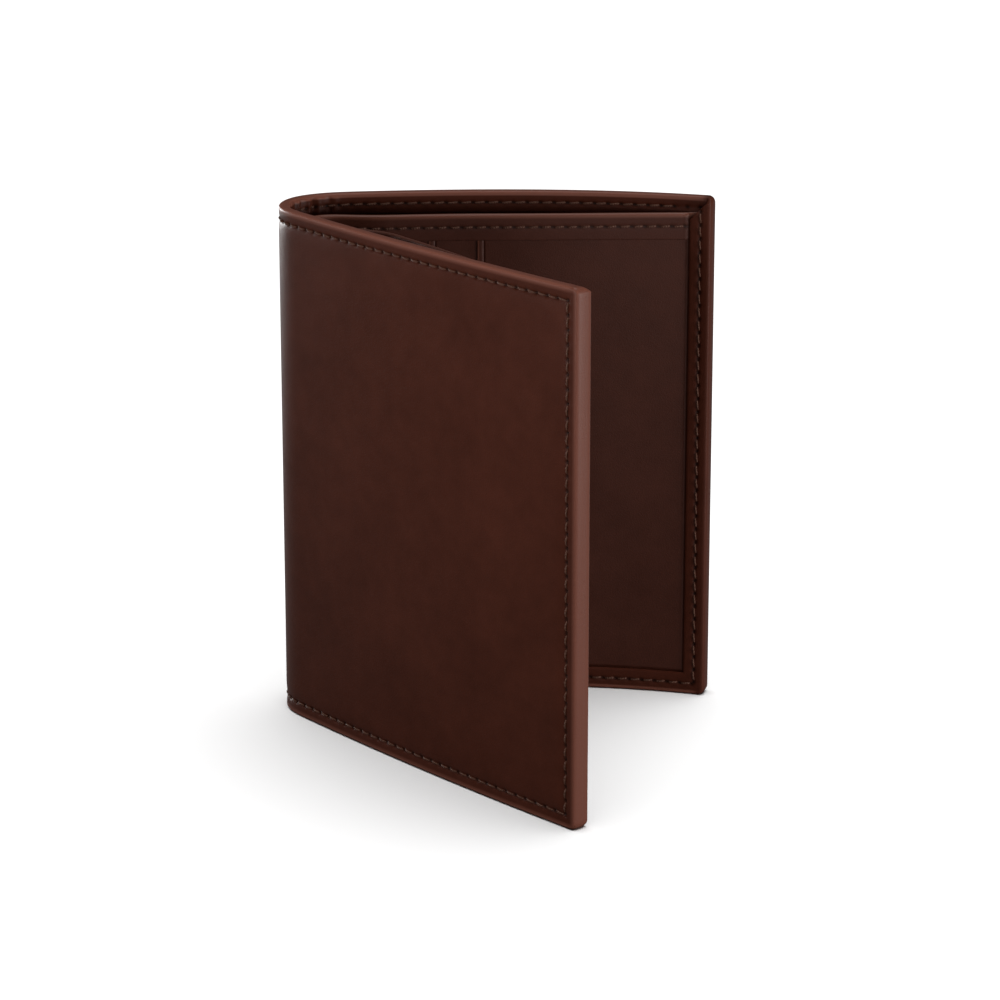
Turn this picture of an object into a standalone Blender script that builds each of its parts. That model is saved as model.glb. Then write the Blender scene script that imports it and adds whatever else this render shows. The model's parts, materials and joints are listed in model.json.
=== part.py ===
"""Bifold wallet standing on its bottom edge, open like a book.

Every layer is cut as a flat pattern and then wrapped onto one plan curve, the way a leather
maker cuts, stacks and folds it.  Flat patterns are in millimetres:

    s  distance along the outer face, 0 at the middle of the spine, + to the back free edge
    t  depth from the outer face towards the inside
    z  height above the bottom edge

The finished object is in metres, +Z up, with its origin under the middle of its box.
"""

import math

import bmesh
import bpy
import numpy as np

MM = 0.001

# ---- driving dimensions, mm ----------------------------------------------------------------
HEIGHT = 115.0
EDGE = 102.3            # spine middle to a free edge, measured on the outer face
HINGE_S = 7.0           # fold lines of the spine, each side of its middle
CORNER_RADIUS = 2.5     # free corners of the covers
RIM_BEVEL = 0.45        # rounding of the turned edges
HEM = 5.0               # width of the turned edge at the free side and bottom
TOP_HEM = 5.5           # width of the turned edge at the top
WALL = 0.9              # leather thickness where the cover folds over
SEAM_INSET = 3.0        # stitch line to edge
HEM_SEAM_INSET = 2.6    # the same on the inside of the turned edge
THREAD = 0.6            # thread width
THREAD_HEIGHT = 0.2     # how far a thread stands
CLEAR = 0.1             # gap between neighbouring layers
THREAD_LIFT = 0.2       # gap under the divider's thread, whose leather leans
TUCK = 0.2              # gap between an inner layer's edge and the fold round it
CORNER_SEGMENTS = 4
RIM_SEGMENTS = 2

# ---- layers, mm from the outer face (low, high) --------------------------------------------
COVER = (0.0, 0.9)
STIFFENER = (1.0, 1.4)
LINING = (1.5, 1.8)
TOP_HEM_T = (1.9, 2.4)
DIVIDER = (2.5, 3.0)
BACKING = (3.1, 3.4)
POCKET_3 = (3.5, 3.9)
POCKET_2 = (4.0, 4.4)
POCKET_1 = (3.1, 3.6)   # under the hem; lifted by POCKET_LIFT over the other pockets
DIVIDER_HEM = (3.7, 4.2)
SIDE_HEM = (3.7, 4.3)
POCKET_LIFT = 1.4
LIFT_RAMP = 4.2         # the top pocket climbs over the others within this distance of the hem

# ---- inside panels, mm ---------------------------------------------------------------------
STIFFENER_START = 13.0  # from the middle of the spine
STIFFENER_TOP = HEIGHT - 7.0
STIFFENER_INSET = HEM + 1.5
DIVIDER_TOP = 111.5
DIVIDER_HEM_WIDTH = 6.0
POCKET_TOP = 110.6
POCKET_FLOOR = 10.0     # where the lifted stack has its full thickness
POCKET_SIDE = 8.0       # backing panel to the free edge
CARD_POCKET_DEPTH = 54.0
POCKET_MOUTHS = (53.4, 64.5, 75.6)   # from the free edge
BACKING_EDGE = 82.0
NOTE_GAPE = 6.0         # how far the divider stands off the lining at the top
GAPE_START = HEM + 1.0  # the gape starts at this distance from the sewn edges
GAPE_REACH = 43.0       # and is full this much further on
SPINE_GAPE = 0.3        # share of the gape at the fold lines
GAPE_RISE = 30.0        # distance from a fold line to the full gape
BACK_DIVIDER_START = 13.0
FRONT_DIVIDER_START = 12.0
RAMP_START = HEM + 0.3
RAMP_STEPS = (RAMP_START, RAMP_START + 0.5 * LIFT_RAMP, RAMP_START + LIFT_RAMP)
LEAN_STEPS = (25.0, 41.0, 57.0, 73.0, 89.0, 105.0)
SPINE_DIVIDER = (-4.5, 1.5)
DIVIDER_THREAD_START = 15.0
SPINE_THREAD_INSET = 1.6   # spine threads stop short of the fold lines

# ---- plan curve: curvature in degrees per mm along s ---------------------------------------
FRONT_HEADING = 128.1   # heading at the front free edge, from +X
FRONT_BOW = 0.0625
SPINE_RISE = (-12.6, -5.6)
SPINE_FALL = (8.4, 24.4)
SPINE_TURN = 121.5      # total turn of the spine at rest
BACK_BOW = 0.15
BACK_BOW_GROWTH = 0.0042

# ---- fold range, degrees at each of the two fold lines -------------------------------------
OPEN_RANGE = 62.0
CLOSE_RANGE = 22.0
HINGE_DEPTH = LINING[1]
FOLD_GAP_INSIDE = 6.0   # height of the inner wedge at a fold line
OPEN_SPARE = 2.0        # degrees that the outer wedge is wider than its share of the range
CLOSE_SPARE = 1.0

# ---- working values, mm ---------------------------------------------------------------------
OVER = 1.0              # how far a cutter runs past what it cuts
BITE = 0.05             # overlap of two cutters that meet
CURVE_POINTS = 4029
SPINE_STEP = 2.5        # between bend lines in the spine
FRONT_BENDS = 11
BACK_BENDS = 10
BEND_MARGIN = 0.4       # nearest bend line to the edge of a layer
SAME = 1e-4             # distance under which flat places count as one

LEATHER = (0.085, 0.026, 0.013)
INNER_LEATHER = (0.06, 0.022, 0.014)
LINING_CLOTH = (0.03, 0.015, 0.012)
BOARD = (0.35, 0.25, 0.16)
THREAD_COLOUR = (0.14, 0.06, 0.035)


def smooth(value):
    """Ease from 0 to 1 as value goes from 0 to 1, flat outside that."""
    u = np.clip(value, 0.0, 1.0)
    return u * u * (3.0 - 2.0 * u)


def plan_curvature(s):
    """Curvature of the outer face in degrees per mm: two bowed leaves and a rounded spine."""
    rise = (s - SPINE_RISE[0]) / (SPINE_RISE[1] - SPINE_RISE[0])
    fall = (SPINE_FALL[1] - s) / (SPINE_FALL[1] - SPINE_FALL[0])
    spine = np.clip(np.minimum(rise, fall), 0.0, 1.0)
    full_width = 0.5 * (SPINE_FALL[0] + SPINE_FALL[1] - SPINE_RISE[0] - SPINE_RISE[1])
    bow = np.where(s < SPINE_RISE[0], FRONT_BOW, 0.0)
    past = np.maximum(s - SPINE_FALL[1], 0.0)
    bow = bow + np.where(s > SPINE_FALL[1], BACK_BOW + BACK_BOW_GROWTH * past, 0.0)
    return spine * SPINE_TURN / full_width + bow


def plan_curve():
    """Integrate the curvature into points and headings of the outer face, in mm."""
    s = np.linspace(-EDGE, EDGE, CURVE_POINTS)
    step = s[1] - s[0]
    middle = 0.5 * (s[1:] + s[:-1])
    turned = np.concatenate(([0.0], np.cumsum(plan_curvature(middle)) * step))
    heading = np.radians(FRONT_HEADING - turned)
    half = 0.5 * (heading[1:] + heading[:-1])
    x = np.concatenate(([0.0], np.cumsum(np.cos(half)) * step))
    y = np.concatenate(([0.0], np.cumsum(np.sin(half)) * step))
    zero = np.searchsorted(s, 0.0)
    return s, x - x[zero], y - y[zero], heading


CURVE_S, CURVE_X, CURVE_Y, CURVE_HEADING = plan_curve()


def gape(s, z):
    """Distance that the inside panels stand off the cover at (s, z), in mm."""
    from_edge = EDGE - np.abs(s)
    along = 1.0 - np.clip(1.0 - (from_edge - GAPE_START) / GAPE_REACH, 0.0, 1.0) ** 2
    along = along * (SPINE_GAPE + (1.0 - SPINE_GAPE) * smooth((np.abs(s) - HINGE_S) / GAPE_RISE))
    up = np.clip((z - GAPE_START) / (DIVIDER_TOP - GAPE_START), 0.0, None)
    return NOTE_GAPE * along * up


def pocket_lift(s, z):
    """Rise of the top pocket over the pockets under it, in mm."""
    from_edge = EDGE - np.abs(s)
    side = smooth((from_edge - RAMP_START) / LIFT_RAMP)
    floor = smooth((z - RAMP_START) / LIFT_RAMP)
    return POCKET_LIFT * side * floor


def wrap(points, leans=False, lift_above=None):
    """Map flat (s, t, z) in mm onto the plan curve, in metres."""
    s, t, z = points[:, 0], points[:, 1].copy(), points[:, 2]
    if lift_above is not None:
        t += np.where(points[:, 1] > lift_above, pocket_lift(s, z), 0.0)
    if leans:
        t += gape(s, z)
    heading = np.interp(s, CURVE_S, CURVE_HEADING)
    x = np.interp(s, CURVE_S, CURVE_X) + t * np.sin(heading)
    y = np.interp(s, CURVE_S, CURVE_Y) - t * np.cos(heading)
    return np.column_stack((x, y, z)) * MM


# ---- Blender helpers -----------------------------------------------------------------------

def start_scene():
    """Empty the scene and make the collections for the parts and the cutters."""
    for item in list(bpy.data.objects):
        bpy.data.objects.remove(item, do_unlink=True)
    parts = bpy.data.collections.new("bifold_wallet")
    cutters = bpy.data.collections.new("cutters")
    bpy.context.scene.collection.children.link(parts)
    bpy.context.scene.collection.children.link(cutters)
    return parts, cutters


def material(name, colour, roughness):
    """Principled material with a colour and a roughness; nothing here is metal."""
    made = bpy.data.materials.new(name)
    made.use_nodes = True
    shader = made.node_tree.nodes["Principled BSDF"]
    shader.inputs["Base Color"].default_value = (*colour, 1.0)
    shader.inputs["Roughness"].default_value = roughness
    shader.inputs["Metallic"].default_value = 0.0
    return made


def flat_box(low, high):
    """Cube primitive stretched between two flat (s, t, z) corners, as a bmesh."""
    low, high = np.minimum(low, high), np.maximum(low, high)
    mesh = bmesh.new()
    bmesh.ops.create_cube(mesh, size=1.0)
    bmesh.ops.scale(mesh, vec=tuple(high - low), verts=mesh.verts)
    bmesh.ops.translate(mesh, vec=tuple(0.5 * (low + high)), verts=mesh.verts)
    return mesh


def to_object(mesh, name, collection):
    """Turn a bmesh into an object in a collection."""
    data = bpy.data.meshes.new(name)
    mesh.to_mesh(data)
    mesh.free()
    made = bpy.data.objects.new(name, data)
    collection.objects.link(made)
    return made


def edges_along(mesh, axis, **where):
    """Edges parallel to an axis whose middle is at the given coordinates (s=, t=, z=)."""
    index = {"s": 0, "t": 1, "z": 2}
    found = []
    for edge in mesh.edges:
        span = edge.verts[1].co - edge.verts[0].co
        middle = 0.5 * (edge.verts[0].co + edge.verts[1].co)
        parallel = abs(span[index[axis]]) > 0.99 * span.length
        placed = all(abs(middle[index[key]] - value) < SAME for key, value in where.items())
        if parallel and placed:
            found.append(edge)
    return found


def round_cover(mesh, side):
    """Round the free corners and the turned rims of a leaf's cover block."""
    edge = side * EDGE
    corners = edges_along(mesh, "t", s=edge)
    bmesh.ops.bevel(
        mesh, geom=corners, offset=CORNER_RADIUS, segments=CORNER_SEGMENTS, profile=0.5, affect="EDGES"
    )
    rims = []
    for item in mesh.edges:
        same_level = abs(item.verts[0].co.y - item.verts[1].co.y) < SAME
        at_spine = all(abs(vertex.co.x - side * HINGE_S) < SAME for vertex in item.verts)
        if same_level and not at_spine:
            rims.append(item)
    bmesh.ops.bevel(mesh, geom=rims, offset=RIM_BEVEL, segments=RIM_SEGMENTS, profile=0.5, affect="EDGES")


def fold_gap(hinge, low_z, high_z):
    """Cutter for one fold line: a wedge open to the outside, and a narrow one inside."""
    outline = bpy.data.curves.new("fold_gap", "CURVE")
    outline.dimensions = "2D"
    outline.fill_mode = "BOTH"
    wide = CLEAR + (HINGE_DEPTH + OVER) * math.tan(math.radians(0.5 * OPEN_RANGE + OPEN_SPARE))
    narrow = CLEAR + FOLD_GAP_INSIDE * math.tan(math.radians(0.5 * CLOSE_RANGE + CLOSE_SPARE))
    deep = HINGE_DEPTH + FOLD_GAP_INSIDE
    corners = [
        (-wide, -OVER), (wide, -OVER), (CLEAR, HINGE_DEPTH),
        (narrow, deep), (-narrow, deep), (-CLEAR, HINGE_DEPTH),
    ]
    spline = outline.splines.new("POLY")
    spline.points.add(len(corners) - 1)
    for point, (s, t) in zip(spline.points, corners):
        point.co = (hinge + s, t, 0.0, 1.0)
    spline.use_cyclic_u = True
    outline.extrude = 0.5 * (high_z - low_z)
    return outline


def mesh_from_curve(curve, name, height, collection):
    """Weld an extruded outline into a closed mesh object centred at a height."""
    holder = bpy.data.objects.new(name, curve)
    collection.objects.link(holder)
    bpy.context.view_layer.update()
    graph = bpy.context.evaluated_depsgraph_get()
    data = bpy.data.meshes.new_from_object(holder.evaluated_get(graph))
    bpy.data.objects.remove(holder, do_unlink=True)
    mesh = bmesh.new()
    mesh.from_mesh(data)
    bmesh.ops.remove_doubles(mesh, verts=mesh.verts, dist=0.1 * SAME)
    bmesh.ops.recalc_face_normals(mesh, faces=mesh.faces)
    bmesh.ops.translate(mesh, vec=(0.0, 0.0, height), verts=mesh.verts)
    return to_object(mesh, name, collection)


def carve(target, cutters):
    """Cut the cutter objects out of target with exact Booleans and keep the result as its mesh."""
    for cutter in cutters:
        cut = target.modifiers.new("cut", "BOOLEAN")
        cut.operation = "DIFFERENCE"
        cut.solver = "EXACT"
        cut.object = cutter
        cutter.hide_render = True
        cutter.display_type = "WIRE"
    bpy.context.view_layer.update()
    graph = bpy.context.evaluated_depsgraph_get()
    shaped = bpy.data.meshes.new_from_object(target.evaluated_get(graph))
    target.modifiers.clear()
    old = target.data
    target.data = shaped
    bpy.data.meshes.remove(old)


def along_stations(low, high):
    """Places along s where a flat layer gets a bend line: close in the spine, wide in the leaves."""
    spine_start = SPINE_RISE[0] - 1.0
    spine = np.arange(spine_start, SPINE_FALL[1] + 2.0, SPINE_STEP)
    ramp = EDGE - np.array(RAMP_STEPS)
    leaf_end = ramp[2] - HEM
    front = np.linspace(-leaf_end, spine_start, FRONT_BENDS, endpoint=False)
    back = np.linspace(SPINE_FALL[1] + 3.0, leaf_end, BACK_BENDS)
    places = np.concatenate((-ramp, front, spine, back, ramp))
    return places[(places > low + BEND_MARGIN) & (places < high - BEND_MARGIN)]


def bend_lines(mesh, leans):
    """Score the flat solid with bend lines, so that wrapping can curve it."""
    coords = np.array([vertex.co[:] for vertex in mesh.verts])
    low, high = coords.min(axis=0), coords.max(axis=0)
    cuts = [((s, 0.0, 0.0), (1.0, 0.0, 0.0)) for s in along_stations(low[0], high[0])]
    if leans:
        for z in (*RAMP_STEPS, *LEAN_STEPS):
            if low[2] + BEND_MARGIN < z < high[2] - BEND_MARGIN:
                cuts.append(((0.0, 0.0, z), (0.0, 0.0, 1.0)))
    for place, normal in cuts:
        geometry = mesh.verts[:] + mesh.edges[:] + mesh.faces[:]
        bmesh.ops.bisect_plane(mesh, geom=geometry, dist=0.1 * SAME, plane_co=place, plane_no=normal)


def split_quads(mesh):
    """Cut every quad on the diagonal that rises with s, so that stacked layers fold alike."""
    for face in [item for item in mesh.faces if len(item.verts) == 4]:
        corners = list(face.verts)
        rise = [vertex.co.x + vertex.co.z for vertex in corners]
        lowest = int(np.argmin(rise))
        opposite = (lowest + 2) % 4
        bmesh.utils.face_split(face, corners[lowest], corners[opposite])
    bmesh.ops.triangulate(mesh, faces=mesh.faces)


def finish_layer(target, look, leans=False, lift_above=None):
    """Score, wrap and dress one flat solid; its mesh ends up in metres in the object's frame."""
    mesh = bmesh.new()
    mesh.from_mesh(target.data)
    bmesh.ops.remove_doubles(mesh, verts=mesh.verts, dist=SAME)
    bend_lines(mesh, leans)
    split_quads(mesh)
    flat = np.array([vertex.co[:] for vertex in mesh.verts])
    for vertex, place in zip(mesh.verts, wrap(flat, leans, lift_above)):
        vertex.co = place
    # t runs to the right of s, so wrapping turns the solid inside out
    bmesh.ops.reverse_faces(mesh, faces=mesh.faces)
    mesh.to_mesh(target.data)
    mesh.free()
    target.data.materials.clear()
    target.data.materials.append(look)


class Bench:
    """The collections, materials and cutters that every piece of the wallet shares."""

    def __init__(self):
        self.parts, self.cutters = start_scene()
        self.leather = material("cover_leather", LEATHER, 0.35)
        self.inner = material("inner_leather", INNER_LEATHER, 0.45)
        self.cloth = material("lining_cloth", LINING_CLOTH, 0.8)
        self.board = material("stiffener_board", BOARD, 0.9)
        self.thread = material("seam_thread", THREAD_COLOUR, 0.6)
        self.gaps = [
            mesh_from_curve(
                fold_gap(side * HINGE_S, -OVER, HEIGHT + OVER), f"fold_gap_{side}", 0.5 * HEIGHT, self.cutters
            )
            for side in (-1.0, 1.0)
        ]

    def box_cutter(self, low, high):
        """Box-shaped cutter between two flat corners."""
        return to_object(flat_box(low, high), "cut_box", self.cutters)

    def layer(self, name, look, low, high, cuts=(), at_fold=False, rounded=0, leans=False, lift_above=None):
        """One piece: a flat box, optionally rounded, cut, and then wrapped."""
        mesh = flat_box(low, high)
        if rounded:
            round_cover(mesh, rounded)
        made = to_object(mesh, name, self.parts)
        cutters = [self.box_cutter(*cut) for cut in cuts]
        if at_fold:
            cutters += self.gaps
        if cutters:
            carve(made, cutters)
        finish_layer(made, look, leans, lift_above)
        return made


def between(side, near, far, t, z):
    """Flat corners of a box on one leaf: near and far from the spine, a layer, a height range."""
    return (side * near, t[0], z[0]), (side * far, t[1], z[1])


def make_cover(bench, name, side):
    """Outer leather of one leaf with its turned edges at the top, free side and bottom."""
    inside = EDGE - WALL
    spine_side = HINGE_S - OVER
    top = HEIGHT - TOP_HEM
    hem_gap_top = HEIGHT - SEAM_INSET + 0.2
    past = SIDE_HEM[1] + OVER
    cuts = [
        between(side, spine_side, EDGE - HEM, (TOP_HEM_T[1], past), (HEM, HEIGHT + OVER)),
        between(side, spine_side, inside, (COVER[1], TOP_HEM_T[0]), (WALL, HEIGHT - WALL)),
        between(side, spine_side, inside, (TOP_HEM_T[0] - BITE, SIDE_HEM[0]), (WALL, top)),
        between(side, spine_side, inside, (TOP_HEM_T[1], SIDE_HEM[0]), (top - BITE, hem_gap_top)),
    ]
    low, high = between(side, HINGE_S, EDGE, (0.0, SIDE_HEM[1]), (0.0, HEIGHT))
    bench.layer(name, bench.leather, low, high, cuts, at_fold=True, rounded=side)


def make_leaf_inside(bench, leaf, side, divider_start):
    """Stiffener, lining, divider, backing panel and three card pockets of one leaf."""
    inner_edge = EDGE - WALL - TUCK
    foot = WALL + TUCK
    board_z = (STIFFENER_INSET, STIFFENER_TOP)
    low, high = between(side, STIFFENER_START, EDGE - STIFFENER_INSET, STIFFENER, board_z)
    bench.layer(f"{leaf}_stiffener", bench.board, low, high)
    low, high = between(side, HINGE_S, inner_edge, LINING, (foot, HEIGHT - foot))
    bench.layer(f"{leaf}_lining", bench.cloth, low, high, at_fold=True)

    hem_foot = DIVIDER_TOP - DIVIDER_HEM_WIDTH
    past = DIVIDER_HEM[1] + OVER
    cuts = [
        between(side, 0.0, EDGE + OVER, (DIVIDER[1], past), (-OVER, hem_foot)),
        between(side, EDGE - RAMP_START, EDGE + OVER, (DIVIDER[1], past), (-OVER, HEIGHT)),
        between(side, 0.0, EDGE + OVER, (DIVIDER[1], DIVIDER_HEM[0]), (hem_foot - 0.5, DIVIDER_TOP - 0.6)),
    ]
    low, high = between(side, divider_start, inner_edge, (DIVIDER[0], DIVIDER_HEM[1]), (foot, DIVIDER_TOP))
    bench.layer(f"{leaf}_divider", bench.inner, low, high, cuts, leans=True, lift_above=DIVIDER[1] + BITE)

    panel_z = (POCKET_FLOOR, POCKET_TOP)
    low, high = between(side, EDGE - BACKING_EDGE, EDGE - POCKET_SIDE, BACKING, panel_z)
    bench.layer(f"{leaf}_pocket_backing", bench.cloth, low, high, leans=True)
    for number, t in ((3, POCKET_3), (2, POCKET_2)):
        mouth = EDGE - POCKET_MOUTHS[number - 1]
        low, high = between(side, mouth, mouth + CARD_POCKET_DEPTH, t, panel_z)
        bench.layer(f"{leaf}_card_pocket_{number}", bench.inner, low, high, leans=True)
    low, high = between(side, EDGE - POCKET_MOUTHS[0], inner_edge, POCKET_1, (foot, POCKET_TOP))
    bench.layer(f"{leaf}_card_pocket_1", bench.inner, low, high, leans=True, lift_above=0.0)


def laid_on(face, gap=CLEAR):
    """Low and high t of a thread that lies over an inside face at t = face."""
    return face + gap, face + gap + THREAD_HEIGHT


def thread_frame(bench, name, side, start, inset, t, top):
    """One thread laid along the bottom, the free side and, if it reaches there, the top."""
    half = 0.5 * THREAD
    wide = (t[0] - OVER, t[1] + OVER)
    low, high = between(side, start, EDGE - inset + half, t, (inset - half, top))
    open_top = HEIGHT if top < HEIGHT - inset + half else HEIGHT - inset - half
    inner = between(side, 0.0, EDGE - inset - half, wide, (inset + half, open_top))
    bench.layer(name, bench.thread, low, high, [inner])


def make_leaf_threads(bench, leaf, side):
    """Four rows of stitching on one leaf, each as one laid thread."""
    half = 0.5 * THREAD
    start = HINGE_S + 2.0
    top_row = HEIGHT - SEAM_INSET
    outside = (-CLEAR - THREAD_HEIGHT, -CLEAR)
    thread_frame(bench, f"{leaf}_outer_seam_thread", side, start, SEAM_INSET, outside, top_row + half)
    on_hem = laid_on(SIDE_HEM[1])
    thread_frame(bench, f"{leaf}_hem_seam_thread", side, start + 1.0, HEM_SEAM_INSET, on_hem, top_row)

    row_z = (top_row - 0.1, top_row + 0.5)
    low, high = between(side, start, EDGE - HEM - 0.4, laid_on(TOP_HEM_T[1]), row_z)
    bench.layer(f"{leaf}_top_seam_thread", bench.thread, low, high)

    row = DIVIDER_TOP - SEAM_INSET
    on_divider = laid_on(DIVIDER_HEM[1], THREAD_LIFT)
    low, high = between(side, DIVIDER_THREAD_START, EDGE - GAPE_START, on_divider, (row - half, row + half))
    bench.layer(f"{leaf}_divider_seam_thread", bench.thread, low, high, leans=True, lift_above=0.0)


def make_spine(bench):
    """The strip between the two fold lines: cover, lining, divider and its stitching."""
    reach = HINGE_S
    past = TOP_HEM_T[1] + OVER
    cuts = [
        ((-reach - OVER, COVER[1], HEM), (reach + OVER, past, HEIGHT - TOP_HEM)),
        ((-reach - OVER, COVER[1], WALL), (reach + OVER, TOP_HEM_T[0], HEIGHT - WALL)),
    ]
    low, high = (-reach, 0.0, 0.0), (reach, TOP_HEM_T[1], HEIGHT)
    bench.layer("spine_cover", bench.leather, low, high, cuts, at_fold=True)
    foot = WALL + TUCK
    low, high = (-reach, LINING[0], foot), (reach, LINING[1], HEIGHT - foot)
    bench.layer("spine_lining", bench.cloth, low, high, at_fold=True)
    low, high = (SPINE_DIVIDER[0], DIVIDER[0], HEM + 0.5), (SPINE_DIVIDER[1], DIVIDER[1], DIVIDER_TOP)
    bench.layer("spine_divider", bench.inner, low, high, leans=True)
    thread_end = reach - SPINE_THREAD_INSET
    for where, row in (("top", HEIGHT - SEAM_INSET), ("bottom", SEAM_INSET)):
        low = (-thread_end, -CLEAR - THREAD_HEIGHT, row - 0.5 * THREAD)
        high = (thread_end, -CLEAR, row + 0.5 * THREAD)
        bench.layer(f"spine_{where}_seam_thread", bench.thread, low, high)


def centre_on_floor(parts):
    """Move every mesh so that the origin is under the middle of the whole box."""
    corners = []
    for item in parts.objects:
        points = np.empty(len(item.data.vertices) * 3)
        item.data.vertices.foreach_get("co", points)
        points = points.reshape(-1, 3)
        corners.append((points.min(axis=0), points.max(axis=0)))
    low = np.min([pair[0] for pair in corners], axis=0)
    high = np.max([pair[1] for pair in corners], axis=0)
    shift = np.array((0.5 * (low[0] + high[0]), 0.5 * (low[1] + high[1]), low[2]))
    for item in parts.objects:
        points = np.empty(len(item.data.vertices) * 3)
        item.data.vertices.foreach_get("co", points)
        points = (points.reshape(-1, 3) - shift).ravel()
        item.data.vertices.foreach_set("co", points)
        item.data.update()
    return shift


def fold_axes(parts, shift):
    """Put the spine's and the front leaf's origins on their fold lines, through parent empties."""
    for label, hinge, names in (
        ("back_fold_axis", HINGE_S, ("spine_",)),
        ("front_fold_axis", -HINGE_S, ("front_",)),
    ):
        place = wrap(np.array([[hinge, HINGE_DEPTH, 0.0]]))[0] - shift
        axis = bpy.data.objects.new(label, None)
        axis.location = place
        bpy.context.scene.collection.objects.link(axis)
        bpy.context.view_layer.update()
        for item in parts.objects:
            if item.name.startswith(names):
                item.parent = axis
                item.matrix_parent_inverse = axis.matrix_world.inverted()


def build():
    """Build the whole wallet."""
    bench = Bench()
    for leaf, side, divider_start in (
        ("back", 1.0, BACK_DIVIDER_START),
        ("front", -1.0, FRONT_DIVIDER_START),
    ):
        make_cover(bench, f"{leaf}_cover", side)
        make_leaf_inside(bench, leaf, side, divider_start)
        make_leaf_threads(bench, leaf, side)
    make_spine(bench)
    shift = centre_on_floor(bench.parts)
    fold_axes(bench.parts, shift)


build()
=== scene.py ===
"""Bifold wallet: the looks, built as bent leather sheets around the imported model.

Every sheet is worked out flat, in millimetres, and then wrapped onto the wallet's plan curve:

    s  distance along the outer face, 0 at the middle of the spine, + to the back free edge
    t  depth from the outer face towards the inside
    z  height above the bottom edge

Lengths are in millimetres and angles in degrees unless a name or a text says otherwise.
"""

import json
import logging
import math
from dataclasses import dataclass, field
from enum import Enum

import bmesh
import bpy
import numpy as np
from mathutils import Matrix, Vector

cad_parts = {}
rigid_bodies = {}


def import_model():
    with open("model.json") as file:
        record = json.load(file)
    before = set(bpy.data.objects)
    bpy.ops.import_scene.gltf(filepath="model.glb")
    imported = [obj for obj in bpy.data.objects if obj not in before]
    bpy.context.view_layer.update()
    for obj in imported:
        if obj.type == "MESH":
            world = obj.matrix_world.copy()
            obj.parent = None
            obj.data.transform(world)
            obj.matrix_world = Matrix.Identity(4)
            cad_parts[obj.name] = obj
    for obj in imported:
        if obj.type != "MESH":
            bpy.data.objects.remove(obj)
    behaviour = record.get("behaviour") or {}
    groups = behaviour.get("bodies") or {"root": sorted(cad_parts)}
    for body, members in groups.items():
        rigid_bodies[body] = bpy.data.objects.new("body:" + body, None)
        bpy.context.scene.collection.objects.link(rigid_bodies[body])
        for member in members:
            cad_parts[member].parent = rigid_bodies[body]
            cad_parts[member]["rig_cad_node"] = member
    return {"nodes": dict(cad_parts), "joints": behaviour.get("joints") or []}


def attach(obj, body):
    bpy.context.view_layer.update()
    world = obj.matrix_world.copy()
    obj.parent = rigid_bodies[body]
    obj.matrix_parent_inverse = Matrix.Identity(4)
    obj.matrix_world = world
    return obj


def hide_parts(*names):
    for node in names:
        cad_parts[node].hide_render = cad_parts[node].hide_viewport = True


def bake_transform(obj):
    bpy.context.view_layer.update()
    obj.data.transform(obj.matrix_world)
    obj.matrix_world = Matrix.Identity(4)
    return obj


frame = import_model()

Array = np.ndarray
Piece = bpy.types.Object
Tree = bpy.types.NodeTree
Socket = bpy.types.NodeSocket
Colour = tuple[float, float, float]
Place = tuple[float, float, float]
Span = tuple[float, float]

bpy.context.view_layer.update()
LOG = logging.getLogger("wallet")
MM = 0.001
UV_PER_MM = 0.01
HALF_TURN = math.pi
FULL_TURN = 2.0 * math.pi


class Leaf(Enum):
    """The two leaves of the wallet; the value is the sign of s on that leaf."""

    BACK = 1.0
    FRONT = -1.0

    @property
    def word(self) -> str:
        """Prefix of the leaf's CAD nodes."""
        return self.name.lower()

    @property
    def body(self) -> str:
        """CAD body that the leaf moves with."""
        return f"{self.word}_leaf"


class Side(Enum):
    """Which way a face looks; the value is the sign of t in that direction."""

    OUTSIDE = -1.0
    INSIDE = 1.0


def ease(value: Array) -> Array:
    """Smooth step: 3u^2 - 2u^3 of the value clipped to 0..1."""
    u = np.clip(value, 0.0, 1.0)
    return u * u * (3.0 - 2.0 * u)


def bell(value: Array, width: float) -> Array:
    """Bell curve of a distance, 1 at zero and 1/e at the width."""
    return np.exp(-((value / width) ** 2))


def dimple(across: Array, along: Array, width: float) -> Array:
    """Round bell of two distances, 1 at zero and 1/e at the width."""
    return np.exp(-((across**2 + along**2) / width**2))


def from_nearest(along: Array, pitch: float) -> Array:
    """Distance to the nearest whole multiple of a pitch."""
    return along - np.round(along / pitch) * pitch


# ---- shape of the wallet ------------------------------------------------------------------

@dataclass(frozen=True)
class Sizes:
    """Driving sizes in millimetres, the same as the CAD model's."""

    height: float = 115.0
    edge: float = 102.3
    hinge_s: float = 7.0
    hinge_depth: float = 1.8
    corner: float = 1.6
    hem: float = 5.0
    leather: float = 0.9
    fold: float = 0.55
    thick: float = 4.3
    thick_top: float = 2.4
    inner_inset: float = 1.2
    seam: float = 3.0
    hem_seam: float = 2.6
    pitch: float = 3.0
    divider_top: float = 111.5
    divider_hem: float = 6.0
    mouths: tuple[float, float, float] = (53.4, 64.5, 75.6)
    card_depth: float = 54.0
    backing: float = 82.0

    @property
    def middle(self) -> float:
        """Half the height."""
        return 0.5 * self.height


SIZES = Sizes()


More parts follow.
